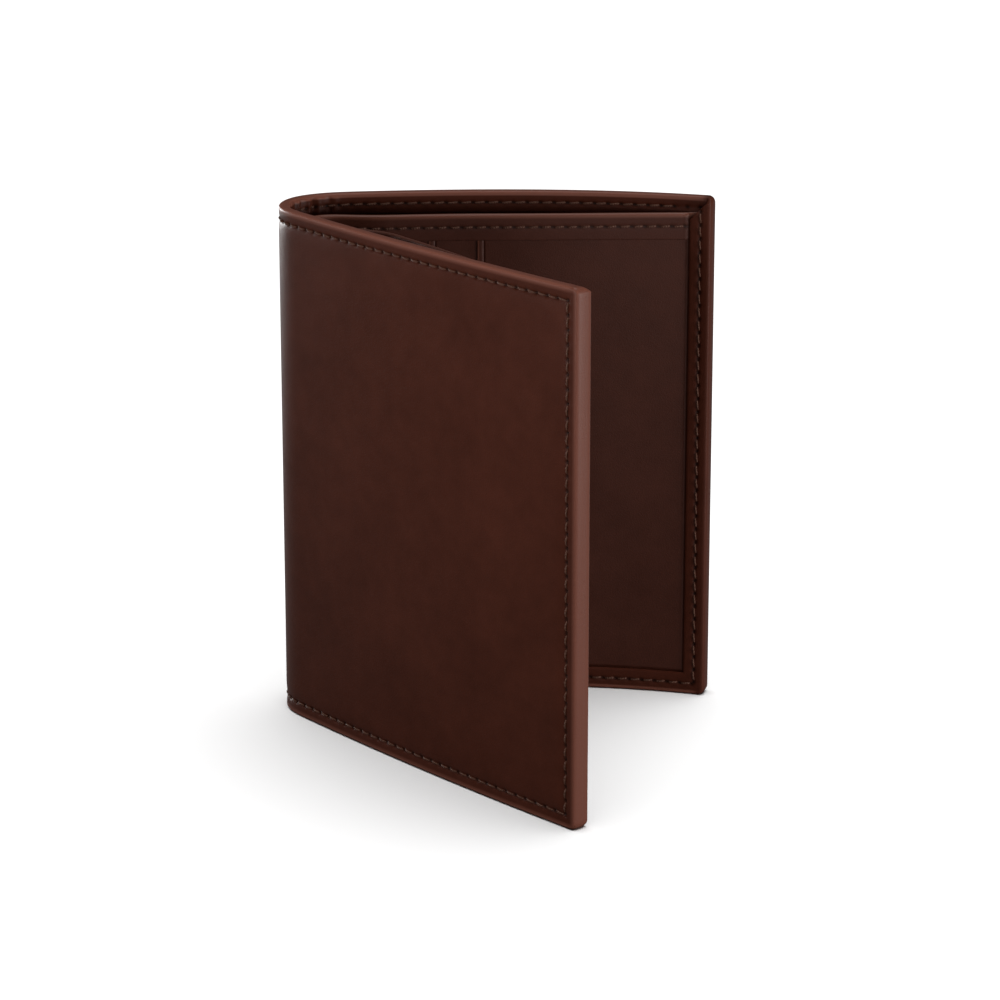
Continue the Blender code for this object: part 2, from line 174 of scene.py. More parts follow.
@dataclass
class PlanCurve:
    """Plan of the outer face: two bowed leaves and a rounded spine, as curvature along s.

    Gape is how far the divider stands off the cover; lift is the rise over the pockets.
    """

    front_heading: float = 128.1
    front_bow: float = 0.0625
    rise: Span = (-12.6, -5.6)
    fall: Span = (8.4, 24.4)
    turn: float = 121.5
    back_bow: float = 0.15
    bow_growth: float = 0.0042
    points: int = 8185
    back_gape: float = 6.0
    front_gape: float = 10.5
    spine_gape: float = 2.7
    back_reach: float = 43.0
    front_reach: float = 78.0
    spread: float = 22.0
    sewn: float = 6.0
    lift: float = 0.45
    ramp: float = 0.7
    s: Array = field(init=False)
    x: Array = field(init=False)
    y: Array = field(init=False)
    heading: Array = field(init=False)

    def __post_init__(self) -> None:
        """Integrate curvature to heading to position, then pin the back fold line to its joint."""
        self.s = np.linspace(-SIZES.edge, SIZES.edge, self.points)
        step = self.s[1] - self.s[0]
        bend = self.curvature(0.5 * (self.s[1:] + self.s[:-1]))
        turned = np.concatenate(([0.0], np.cumsum(bend) * step))
        self.heading = np.radians(self.front_heading - turned)
        half = 0.5 * (self.heading[1:] + self.heading[:-1])
        self.x = np.concatenate(([0.0], np.cumsum(np.cos(half)) * step))
        self.y = np.concatenate(([0.0], np.cumsum(np.sin(half)) * step))
        fold_s, fold_t = np.array([SIZES.hinge_s]), np.array([SIZES.hinge_depth])
        here = self.place(fold_s, fold_t, np.zeros(1))[0]
        joint = self.back_fold()
        self.x += (joint[0] - here[0]) / MM
        self.y += (joint[1] - here[1]) / MM

    @staticmethod
    def back_fold() -> Place:
        """Position in metres of the joint on the back fold line."""
        return next(item["pos_m"] for item in frame["joints"] if item["name"] == "back_fold")

    def curvature(self, s: Array) -> Array:
        """Ramped plateau over the spine plus the bow of each leaf.

        Args:
            s: places along the face.

        Returns:
            Degrees turned per millimetre.
        """
        up = (s - self.rise[0]) / (self.rise[1] - self.rise[0])
        down = (self.fall[1] - s) / (self.fall[1] - self.fall[0])
        spine = np.clip(np.minimum(up, down), 0.0, 1.0)
        width = 0.5 * (sum(self.fall) - sum(self.rise))
        bow = np.where(s < self.rise[0], self.front_bow, 0.0)
        past = np.maximum(s - self.fall[1], 0.0)
        bow = bow + np.where(s > self.fall[1], self.back_bow + self.bow_growth * past, 0.0)
        return spine * self.turn / width + bow

    def stand_off(self, s: Array, z: Array) -> Array:
        """Gape of the note compartment, from the sewn side and bottom to the open top.

        Args:
            s, z: flat places.

        Returns:
            How far the divider stands off there.
        """
        from_edge = SIZES.edge - np.abs(s)
        reach = np.where(s < 0.0, self.front_reach, self.back_reach)
        along = 1.0 - np.clip(1.0 - (from_edge - self.sewn) / reach, 0.0, 1.0) ** 2
        near = ease((np.abs(s) - SIZES.hinge_s) / self.spread)
        widest = np.where(s < 0.0, self.front_gape, self.back_gape)
        up = np.clip((z - self.sewn) / (SIZES.divider_top - self.sewn), 0.0, None)
        return along * (self.spine_gape + (widest - self.spine_gape) * near) * up

    def climb(self, s: Array, z: Array) -> Array:
        """Rise, in millimetres, of the top pocket and the divider's hem over the pockets."""
        side = ease((SIZES.edge - np.abs(s) - SIZES.hem) / self.ramp)
        return self.lift * side * ease((z - SIZES.hem) / self.ramp)

    def place(
        self, s: Array, t: Array, z: Array, lean: float = 0.0, climb: float | Array = 0.0
    ) -> Array:
        """Wrap flat places onto the wallet: curve point plus depth along the inward normal.

        Args:
            s, t, z: flat places.
            lean, climb: shares of the gape and of the pocket lift that are added to t.

        Returns:
            Positions in metres in the object's frame, with a last axis of three.
        """
        s, t, z = np.broadcast_arrays(s, t, z)
        depth = t + lean * self.stand_off(s, z) + climb * self.climb(s, z)
        heading = np.interp(s, self.s, self.heading)
        x = np.interp(s, self.s, self.x) + depth * np.sin(heading)
        y = np.interp(s, self.s, self.y) - depth * np.cos(heading)
        return np.stack((x, y, z), axis=-1) * MM


CURVE = PlanCurve()


# ---- meshes from grids --------------------------------------------------------------------

MERGE_M = 2e-6
SLIVER_M = 1e-7


def grid_faces(rows: int, columns: int) -> Array:
    """Quads of a grid whose points are numbered row by row.

    Args:
        rows, columns: numbers of points.

    Returns:
        The corner numbers of the quads, (count, 4).
    """
    index = np.arange(rows * columns).reshape(rows, columns)
    corners = (index[:-1, :-1], index[1:, :-1], index[1:, 1:], index[:-1, 1:])
    return np.stack([part.ravel() for part in corners], axis=1)


def mesh_object(
    name: str, points: Array, faces: Array, uv: Array, marks: dict[str, Array] | None = None
) -> Piece:
    """Make a mesh object from whole arrays.

    Args:
        name: the object's name.
        points, faces, uv: positions in metres, corner numbers of the quads, and a UV per point.
        marks: named masks 0..1, a value per point.

    Returns:
        The object, linked to the scene.
    """
    mesh = bpy.data.meshes.new(name)
    mesh.vertices.add(len(points))
    mesh.vertices.foreach_set("co", points.astype(np.float32).ravel())
    mesh.loops.add(faces.size)
    mesh.loops.foreach_set("vertex_index", faces.ravel().astype(np.int32))
    mesh.polygons.add(len(faces))
    mesh.polygons.foreach_set("loop_start", np.arange(0, faces.size, 4, dtype=np.int32))
    layer = mesh.uv_layers.new(name="flat")
    layer.data.foreach_set("uv", uv[faces.ravel()].astype(np.float32).ravel())
    mesh.update(calc_edges=True)
    for label, values in (marks or {}).items():
        mask = mesh.attributes.new(label, "FLOAT", "POINT")
        mask.data.foreach_set("value", values.astype(np.float32).ravel())
    made = bpy.data.objects.new(name, mesh)
    bpy.context.scene.collection.objects.link(made)
    return made


def close_mesh(made: Piece, sharp: float = 50.0) -> Piece:
    """Merge doubled points, cap open ends, turn faces outwards and shade smooth.

    Args:
        made: the mesh object.
        sharp: angle in degrees above which an edge stays sharp.

    Returns:
        The same object.
    """
    work = bmesh.new()
    work.from_mesh(made.data)
    bmesh.ops.remove_doubles(work, verts=work.verts, dist=MERGE_M)
    bmesh.ops.dissolve_degenerate(work, edges=work.edges, dist=SLIVER_M)
    rims = [edge for edge in work.edges if edge.is_boundary]
    if rims:
        filled = bmesh.ops.holes_fill(work, edges=rims, sides=0)["faces"]
        bmesh.ops.triangulate(work, faces=filled)
    bmesh.ops.recalc_face_normals(work, faces=work.faces)
    work.to_mesh(made.data)
    work.free()
    smooth = np.ones(len(made.data.polygons), dtype=bool)
    made.data.polygons.foreach_set("use_smooth", smooth)
    made.data.set_sharp_from_angle(angle=math.radians(sharp))
    return made


def grid_solid(
    name: str, s: Array, t: Array, z: Array, uv: tuple[Array, Array], lean: float = 0.0,
    climb: float | Array = 0.0, sharp: float = 50.0, marks: dict[str, Array] | None = None,
) -> Piece:
    """Closed piece from a grid of flat places whose last column meets its first.

    Args:
        name: the piece's name.
        s, t, z: flat places on the grid.
        uv: the two flat pattern coordinates.
        lean, climb: shares passed to the plan curve.
        sharp: angle in degrees above which an edge stays sharp.
        marks: masks on the grid: one for the lighter edge tone, partly real rubbing and partly
            painted highlight, and one for the painted shade of needle holes and cut edges.

    Returns:
        The finished object.
    """
    points = CURVE.place(s, t, z, lean, climb).reshape(-1, 3)
    flat = np.stack(np.broadcast_arrays(*uv), axis=-1).reshape(-1, 2) * UV_PER_MM
    shape = np.broadcast(s, t, z).shape
    full = {label: np.broadcast_to(values, shape) for label, values in (marks or {}).items()}
    return close_mesh(mesh_object(name, points, grid_faces(*shape), flat, full), sharp)


def spaced(*stops: Span) -> Array:
    """Places along a line, spaced evenly between stops.

    Args:
        stops: (end, step) pairs, of which the first gives only the start.

    Returns:
        The places in order, with each stop among them.
    """
    places = [np.array([stops[0][0]])]
    start = stops[0][0]
    for end, step in stops[1:]:
        count = max(1, int(round(abs(end - start) / step)))
        places.append(np.linspace(start, end, count + 1)[1:])
        start = end
    return np.concatenate(places)


def slab_section(first: float, last: float, depths: Span, steps: Array) -> tuple[Array, Array]:
    """Closed section of a thin sheet with round ends, along its top face and back under it.

    Args:
        first, last: where the sheet starts and ends.
        depths: its low and high depth.
        steps: places between first and last where the section has points.

    Returns:
        Places and depths round the section, the last meeting the first.
    """
    low, high = depths
    radius = 0.5 * (high - low)
    way = 1.0 if last > first else -1.0
    angle = np.linspace(0.0, HALF_TURN, 9)
    inner = steps[(np.abs(steps - first) > radius) & (np.abs(steps - last) > radius)]
    start_x = first + way * radius * (1.0 - np.sin(angle))
    start_t = low + radius * (1.0 - np.cos(angle))
    end_x = last - way * radius * (1.0 - np.sin(angle))
    end_t = high - radius * (1.0 - np.cos(angle))
    top, under = np.full(len(inner), high), np.full(len(inner), low)
    x = np.concatenate((start_x, inner, end_x, inner[::-1], start_x[:1]))
    t = np.concatenate((start_t, top, end_t, under, start_t[:1]))
    return x, t


# ---- marks of sewing and folding ----------------------------------------------------------

def needle_rows(length: float) -> float:
    """Stitch pitch nearest the nominal one that divides a row's length evenly."""
    return length / round(length / SIZES.pitch)


TOP_PITCH = needle_rows(SIZES.edge - SIZES.seam)
SIDE_PITCH = needle_rows(SIZES.height - 2.0 * SIZES.seam)


@dataclass(frozen=True)
class SeamMarks:
    """How a seam pulls leather in: a channel along each row and a dimple round each needle hole,
    marked for painted shade.
    """

    channel_width: float = 0.55
    channel_depth: float = 0.14
    pit_width: float = 0.42
    pit_depth: float = 0.38
    past_end: float = 0.6

    def relief(self, s: Array, z: Array, inset: float) -> tuple[Array, Array]:
        """Marks of the top, bottom and side rows, with holes at whole pitches from the corners.

        Args:
            s, z: flat places.
            inset: distance of the rows from the edges.

        Returns:
            How far the leather is pulled in, and a mask of the needle holes, which are darkened as
            painted shade.
        """
        run = SIZES.edge - SIZES.seam - np.abs(s)
        on_run = run > -self.past_end
        low_end = SIZES.seam - self.past_end
        on_side = (z > low_end) & (z < SIZES.height - low_end)
        down = SIZES.height - SIZES.seam - z
        rows = (
            (SIZES.height - z - inset, run, TOP_PITCH, on_run),
            (z - inset, run, TOP_PITCH, on_run),
            (SIZES.edge - np.abs(s) - inset, down, SIDE_PITCH, on_side),
        )
        relief = np.zeros(np.broadcast(s, z).shape)
        hole = np.zeros(relief.shape)
        for across, along, pitch, inside in rows:
            # Each dimple sinks the mesh and also marks its needle hole for painted shade.
            pit = dimple(across, from_nearest(along, pitch), self.pit_width)
            depth = self.channel_depth * bell(across, self.channel_width) + self.pit_depth * pit
            relief = np.maximum(relief, np.where(inside, depth, 0.0))
            hole = np.maximum(hole, np.where(inside, pit, 0.0))
        return relief, hole


@dataclass(frozen=True)
class Pleats:
    """Upright creases where the inner layers crowd together inside the spine."""

    centre: float = 9.0
    reach: float = 9.0
    coarse: float = 1.55
    fine: float = 2.7
    fine_share: float = 0.6
    fine_drift: float = 0.05
    sway: float = 0.6
    sway_rate: float = 0.31
    depth: float = 0.26
    raised: float = 0.16

    def rise(self, s: Array, z: Array) -> Array:
        """Height of the creases.

        Args:
            s, z: flat places.

        Returns:
            The height at each place.
        """
        window = np.exp(-(((np.abs(s - self.centre)) / self.reach) ** 4))
        wave = np.sin(self.coarse * s + self.sway * np.sin(self.sway_rate * z + 1.0))
        wave = wave + self.fine_share * np.sin(self.fine * s + self.fine_drift * z)
        return window * (self.depth * wave + self.raised)


SEAM_MARKS = SeamMarks()
PLEATS = Pleats()


# ---- finishes -----------------------------------------------------------------------------

def new_group(name: str, scale_name: str, scale: float, outputs: tuple[str, ...]) -> Tree:
    """Node group with a Vector and a scale input, and float outputs.

    Args:
        name, outputs: names of the group and of its outputs.
        scale_name, scale: name and default of the scale input.

    Returns:
        The group, with its input and output nodes named "in" and "out".
    """
    group = bpy.data.node_groups.new(name, "ShaderNodeTree")
    group.interface.new_socket("Vector", in_out="INPUT", socket_type="NodeSocketVector")
    socket = group.interface.new_socket(scale_name, in_out="INPUT", socket_type="NodeSocketFloat")
    socket.default_value = scale
    for label in outputs:
        group.interface.new_socket(label, in_out="OUTPUT", socket_type="NodeSocketFloat")
    group.nodes.new("NodeGroupInput").name = "in"
    group.nodes.new("NodeGroupOutput").name = "out"
    return group


def feed(tree: Tree, kind: str | bpy.types.Node, values: dict[str | int, object]) -> bpy.types.Node:
    """Link or set inputs of a node.

    Args:
        tree: the node tree.
        kind: a node, or the type of a node to add.
        values: sockets to link or values to set, by input.

    Returns:
        The node.
    """
    node = tree.nodes.new(kind) if isinstance(kind, str) else kind
    for label, value in values.items():
        if isinstance(value, Socket):
            tree.links.new(value, node.inputs[label])
        else:
            node.inputs[label].default_value = value
    return node


def math_node(tree: Tree, operation: str, *operands: Socket | float) -> Socket:
    """Result of a math node on one or two sockets or numbers."""
    node = feed(tree, "ShaderNodeMath", dict(enumerate(operands)))
    node.operation = operation
    return node.outputs[0]


def weighted_sum(tree: Tree, first: Socket, second: Socket, share: float) -> Socket:
    """First socket plus a share of the second."""
    return math_node(tree, "ADD", first, math_node(tree, "MULTIPLY", second, share))


def sine_bands(tree: Tree, value: Socket, per_unit: Socket) -> Socket:
    """Sine of a value, with per_unit full waves to each unit of it."""
    turns = math_node(tree, "MULTIPLY", value, per_unit)
    return math_node(tree, "SINE", math_node(tree, "MULTIPLY", turns, FULL_TURN))


def noise_node(
    tree: Tree, vector: Socket, scale: float, detail: float, roughness: float = 0.5
) -> Socket:
    """Factor of a noise texture on a vector."""
    values = {"Vector": vector, "Scale": scale, "Detail": detail, "Roughness": roughness}
    return feed(tree, "ShaderNodeTexNoise", values).outputs["Fac"]


def remap(tree: Tree, value: Socket, source: Span, target: Span) -> Socket:
    """Value mapped from one interval to another, clamped."""
    ends = dict(zip(("From Min", "From Max", "To Min", "To Max"), source + target))
    return feed(tree, "ShaderNodeMapRange", {"Value": value, **ends}).outputs["Result"]


def rgba(colour: Colour) -> tuple[float, float, float, float]:
    """Opaque colour."""
    return (*colour, 1.0)


def mix_colour(tree: Tree, factor: Socket, base: Socket | Colour, tone: Colour) -> Socket:
    """Mix from a base to a tone.

    Args:
        tree: the node tree.
        factor: 0 for the base, 1 for the tone.
        base, tone: a colour or socket, and a colour.

    Returns:
        The mixed colour.
    """
    node = tree.nodes.new("ShaderNodeMix")
    node.data_type = "RGBA"
    start = base if isinstance(base, Socket) else rgba(base)
    return feed(tree, node, {"A": start, "B": rgba(tone), "Factor": factor}).outputs["Result"]


class Pattern(Enum):
    """Shared surface patterns: the name of the group, of its scale input and of its mask."""

    LEATHER = ("leather_grain", "Grain Scale", "Mottle")
    WEAVE = ("plain_weave", "Threads", "Slub")
    PLY = ("thread_ply", "Twists", "Fuzz")


def leather_grain_group() -> None:
    """Grain of smooth calf: fine creased cells and a broad mottling of the dye."""
    group = new_group("leather_grain", "Grain Scale", 280.0, ("Height", "Mottle"))
    source, out = group.nodes["in"], group.nodes["out"]
    vector = source.outputs["Vector"]
    cell_inputs = {"Vector": vector, "Scale": source.outputs["Grain Scale"]}
    cells = feed(group, "ShaderNodeTexVoronoi", cell_inputs)
    cells.feature = "DISTANCE_TO_EDGE"
    creases = remap(group, cells.outputs["Distance"], (0.0, 0.22), (0.0, 1.0))
    fine = noise_node(group, vector, scale=240.0, detail=3.0, roughness=0.6)
    broad = noise_node(group, vector, scale=26.0, detail=4.0, roughness=0.55)
    swell = noise_node(group, vector, scale=5.5, detail=3.0)
    height = weighted_sum(group, weighted_sum(group, fine, creases, share=0.3), broad, share=0.5)
    mottle = weighted_sum(group, math_node(group, "MULTIPLY", broad, 0.4), swell, share=0.6)
    mottle = remap(group, mottle, (0.32, 0.68), (0.0, 1.0))
    feed(group, out, {"Height": height, "Mottle": mottle})


def weave_group() -> None:
    """Plain weave: two crossing sets of sine ribs, with some slub noise."""
    group = new_group("plain_weave", "Threads", 180.0, ("Height", "Slub"))
    source, out = group.nodes["in"], group.nodes["out"]
    vector = source.outputs["Vector"]
    split = feed(group, "ShaderNodeSeparateXYZ", {"Vector": vector})
    ribs = [sine_bands(group, split.outputs[axis], source.outputs["Threads"]) for axis in "XY"]
    slub = noise_node(group, vector, scale=60.0, detail=4.0)
    feed(group, out, {"Height": math_node(group, "MULTIPLY", *ribs), "Slub": slub})


def ply_group() -> None:
    """Twisted thread: slanted bands along the stitch, with some fuzz noise."""
    group = new_group("thread_ply", "Twists", 300.0, ("Height", "Fuzz"))
    source, out = group.nodes["in"], group.nodes["out"]
    vector = source.outputs["Vector"]
    split = feed(group, "ShaderNodeSeparateXYZ", {"Vector": vector})
    slant = math_node(group, "ADD", split.outputs["X"], split.outputs["Y"])
    bands = sine_bands(group, slant, source.outputs["Twists"])
    fuzz = noise_node(group, vector, scale=500.0, detail=2.0)
    feed(group, out, {"Height": bands, "Fuzz": fuzz})


@dataclass(frozen=True)
class Finish:
    """One surface finish: two tones mixed by a mask, a roughness range, and a relief.

    Rubbed places turn to a lighter edge tone under a thin coat of the given gloss; that tone is
    partly real rubbing and partly a painted highlight along lit edges. Needle holes and cut edges
    darken towards a near-black tone as painted shade. A finish on_object is laid out by the
    object's own coordinates, the others by the flat UV map.
    """

    name: str
    slot: str
    dark: Colour
    light: Colour
    rough: Span
    relief: float
    specular: float
    sheen: float = 0.0
    pattern: Pattern = Pattern.LEATHER
    scale: float = 280.0
    # Lighter tone of rims and edges: partly real rubbing, partly a painted highlight standing in
    # for lamp light on the rims.
    worn: Colour = (0.115, 0.037, 0.022)
    # Near-black of needle holes and cut edges: painted shade in those recesses.
    pit: Colour = (0.006, 0.003, 0.002)
    gloss: float = 0.2
    coat_rough: float = 0.45
    relief_m: float = 0.0001
    on_object: bool = False

    def layout(self, tree: Tree) -> Socket:
        """Coordinates that the pattern is laid out by.

        Args:
            tree: the material's node tree.

        Returns:
            A vector in units of the flat UV map.
        """
        if not self.on_object:
            flat = tree.nodes.new("ShaderNodeUVMap")
            flat.uv_map = "flat"
            return flat.outputs["UV"]
        metres = tree.nodes.new("ShaderNodeTexCoord").outputs["Object"]
        values = {"Vector": metres, "Scale": UV_PER_MM / MM}
        scale = tree.nodes.new("ShaderNodeVectorMath")
        scale.operation = "SCALE"
        return feed(tree, scale, values).outputs["Vector"]

    def build(self) -> bpy.types.Material:
        """Make the material: pattern group to colour, roughness and bump of a Principled BSDF.

        Returns:
            The new material.
        """
        made = bpy.data.materials.new(self.name)
        made.use_nodes = True
        tree = made.node_tree
        group_name, scale_name, mask_name = self.pattern.value
        pattern = tree.nodes.new("ShaderNodeGroup")
        pattern.node_tree = bpy.data.node_groups[group_name]
        feed(tree, pattern, {"Vector": self.layout(tree), scale_name: self.scale})
        mask, wear = pattern.outputs[mask_name], self.mark(tree, "wear")
        colour = mix_colour(tree, mask, self.dark, self.light)
        # Lighten the marked rims and edges: partly real rubbing, partly painted highlight.
        colour = mix_colour(tree, wear, colour, self.worn)
        bump = feed(tree, "ShaderNodeBump", {
            "Strength": self.relief,
            "Distance": self.relief_m,
            "Height": pattern.outputs["Height"],
        })
        # Needle holes and cut edges are darkened towards near black: painted shade.
        feed(tree, tree.nodes["Principled BSDF"], {
            "Base Color": mix_colour(tree, self.mark(tree, "hole"), colour, self.pit),
            "Roughness": remap(tree, mask, (0.0, 1.0), self.rough),
            "Normal": bump.outputs["Normal"],
            "Coat Weight": math_node(tree, "MULTIPLY", wear, self.gloss),
            "Coat Roughness": self.coat_rough,
            "Specular IOR Level": self.specular,
            "Sheen Weight": self.sheen,
        })
        return made

    @staticmethod
    def mark(tree: Tree, label: str) -> Socket:
        """Named mask on the mesh, which reads 0 where a mesh has none.

        Args:
            tree: the material's node tree.
            label: the mask's name.

        Returns:
            The mask's socket.
        """
        source = tree.nodes.new("ShaderNodeAttribute")
        source.attribute_name = label
        return source.outputs["Fac"]

    def dress(self, piece: Piece) -> None:
        """Put this finish on a piece.

        Args:
            piece: the object to dress.
        """
        material = bpy.data.materials.get(self.name) or self.build()
        piece.data.materials.clear()
        piece.data.materials.append(material)


COVER_FINISH = Finish(
    "polished_calf", "cover_leather", dark=(0.042, 0.01, 0.005), light=(0.06, 0.0148, 0.0078),
    rough=(0.36, 0.44), relief=0.3, specular=0.07, worn=(0.15, 0.05, 0.032), gloss=0.25,
)
PANEL_FINISH = Finish(
    "panel_calf", "inner_leather", dark=(0.042, 0.011, 0.006), light=(0.056, 0.0155, 0.009),
    rough=(0.42, 0.52), relief=0.45, specular=0.14,
)
LINING_FINISH = Finish(
    "lining_weave", "lining_cloth", dark=(0.014, 0.005, 0.0035), light=(0.026, 0.01, 0.007),
    rough=(0.75, 0.85), relief=0.4, specular=0.2, sheen=0.1, pattern=Pattern.WEAVE, scale=260.0,
)
THREAD_FINISH = Finish(
    "waxed_thread", "seam_thread", dark=(0.06, 0.024, 0.014), light=(0.095, 0.04, 0.025),
    rough=(0.5, 0.65), relief=0.5, specular=0.2, pattern=Pattern.PLY, scale=160.0,
)
BOARD_FINISH = Finish(
    "fibre_board", "stiffener_board", dark=(0.28, 0.19, 0.12), light=(0.4, 0.29, 0.19),
    rough=(0.85, 0.95), relief=0.3, specular=0.2, scale=300.0, on_object=True,
)


# ---- pieces -------------------------------------------------------------------------------


def bend_with(piece: Piece) -> None:
    """Bake the piece's transform into its mesh.

    Args:
        piece: the sheet or row of stitches, with its final mesh.
    """
    start = CURVE.place(np.zeros(1), np.zeros(1), np.zeros(1))[0]
    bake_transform(piece)


@dataclass
class StitchRow:
    """A row of separate stitches between needle holes, each a bowed thread with tucked ends.

    The thread comes up at the start share of the way from hole to hole, and its section is
    wide times wider than high; taper and bow are the powers that shape its ends.
    """

    radius: float = 0.19
    wide: float = 1.15
    rise: float = 0.07
    tuck: float = 0.5
    slant: float = 0.13
    start: float = 0.1
    taper: int = 6
    bow: float = 0.45
    sides: int = 10
    rings: int = 11
    sharp: float = 80.0

    def threads(
        self, first: Array, last: Array, depth: float, side: Side
    ) -> tuple[Array, Array, Array, Array]:
        """Flat places of every stitch: its middle stands above the face and its ends tuck in.

        Args:
            first, last: flat (s, z) of the two needle holes of each stitch.
            depth, side: depth of the face, and which way it looks.

        Returns:
            s, t, z and the angle round the thread, each (count, rings, sides + 1).
        """
        u = np.linspace(0.0, 1.0, self.rings)[None, :, None]
        angle = np.linspace(0.0, FULL_TURN, self.sides + 1)[None, None, :]
        span = last - first
        along = span / np.linalg.norm(span, axis=1)[:, None]
        across = np.stack((-along[:, 1], along[:, 0]), axis=1)
        centred = 2.0 * u - 1.0
        thin = np.sqrt(np.clip(1.0 - centred**self.taper, 0.0, 1.0)) * self.radius
        arch = np.sin(np.pi * u) ** self.bow
        lift = side.value * (self.rise + self.tuck) * arch - side.value * self.tuck
        off_line = self.slant * centred + self.wide * thin * np.cos(angle)
        way = self.start + (1.0 - 2.0 * self.start) * u
        s, z = (
            first[:, axis, None, None] + span[:, axis, None, None] * way
            + across[:, axis, None, None] * off_line
            for axis in (0, 1)
        )
        t = depth + lift + side.value * thin * np.sin(angle)
        return tuple(np.broadcast_to(part, s.shape) for part in (s, t, z, angle))

    def build(
        self, name: str, rows: list[tuple[Array, Array]], depth: float, side: Side,
        share: float = 0.0,
    ) -> Piece:
        """Make one object of all the stitches between neighbouring holes of each row.

        Args:
            name: the piece's name.
            rows: s and z of the needle holes of each row.
            depth, side: depth of the face, and which way it looks.
            share: share of the gape and of the pocket lift that the face takes.

        Returns:
            The object.
        """
        first = np.concatenate([np.stack(row, axis=1)[:-1] for row in rows])
        last = np.concatenate([np.stack(row, axis=1)[1:] for row in rows])
        s, t, z, angle = self.threads(first, last, depth, side)
        points = CURVE.place(s, t, z, lean=share, climb=share).reshape(-1, 3)
        uv = np.stack((s + z, angle * self.radius), axis=-1).reshape(-1, 2) * UV_PER_MM
        one = grid_faces(self.rings, self.sides + 1)
        offset = np.arange(len(first))[:, None, None] * self.rings * (self.sides + 1)
        faces = (one[None] + offset).reshape(-1, 4)
        return close_mesh(mesh_object(name, points, faces, uv), self.sharp)


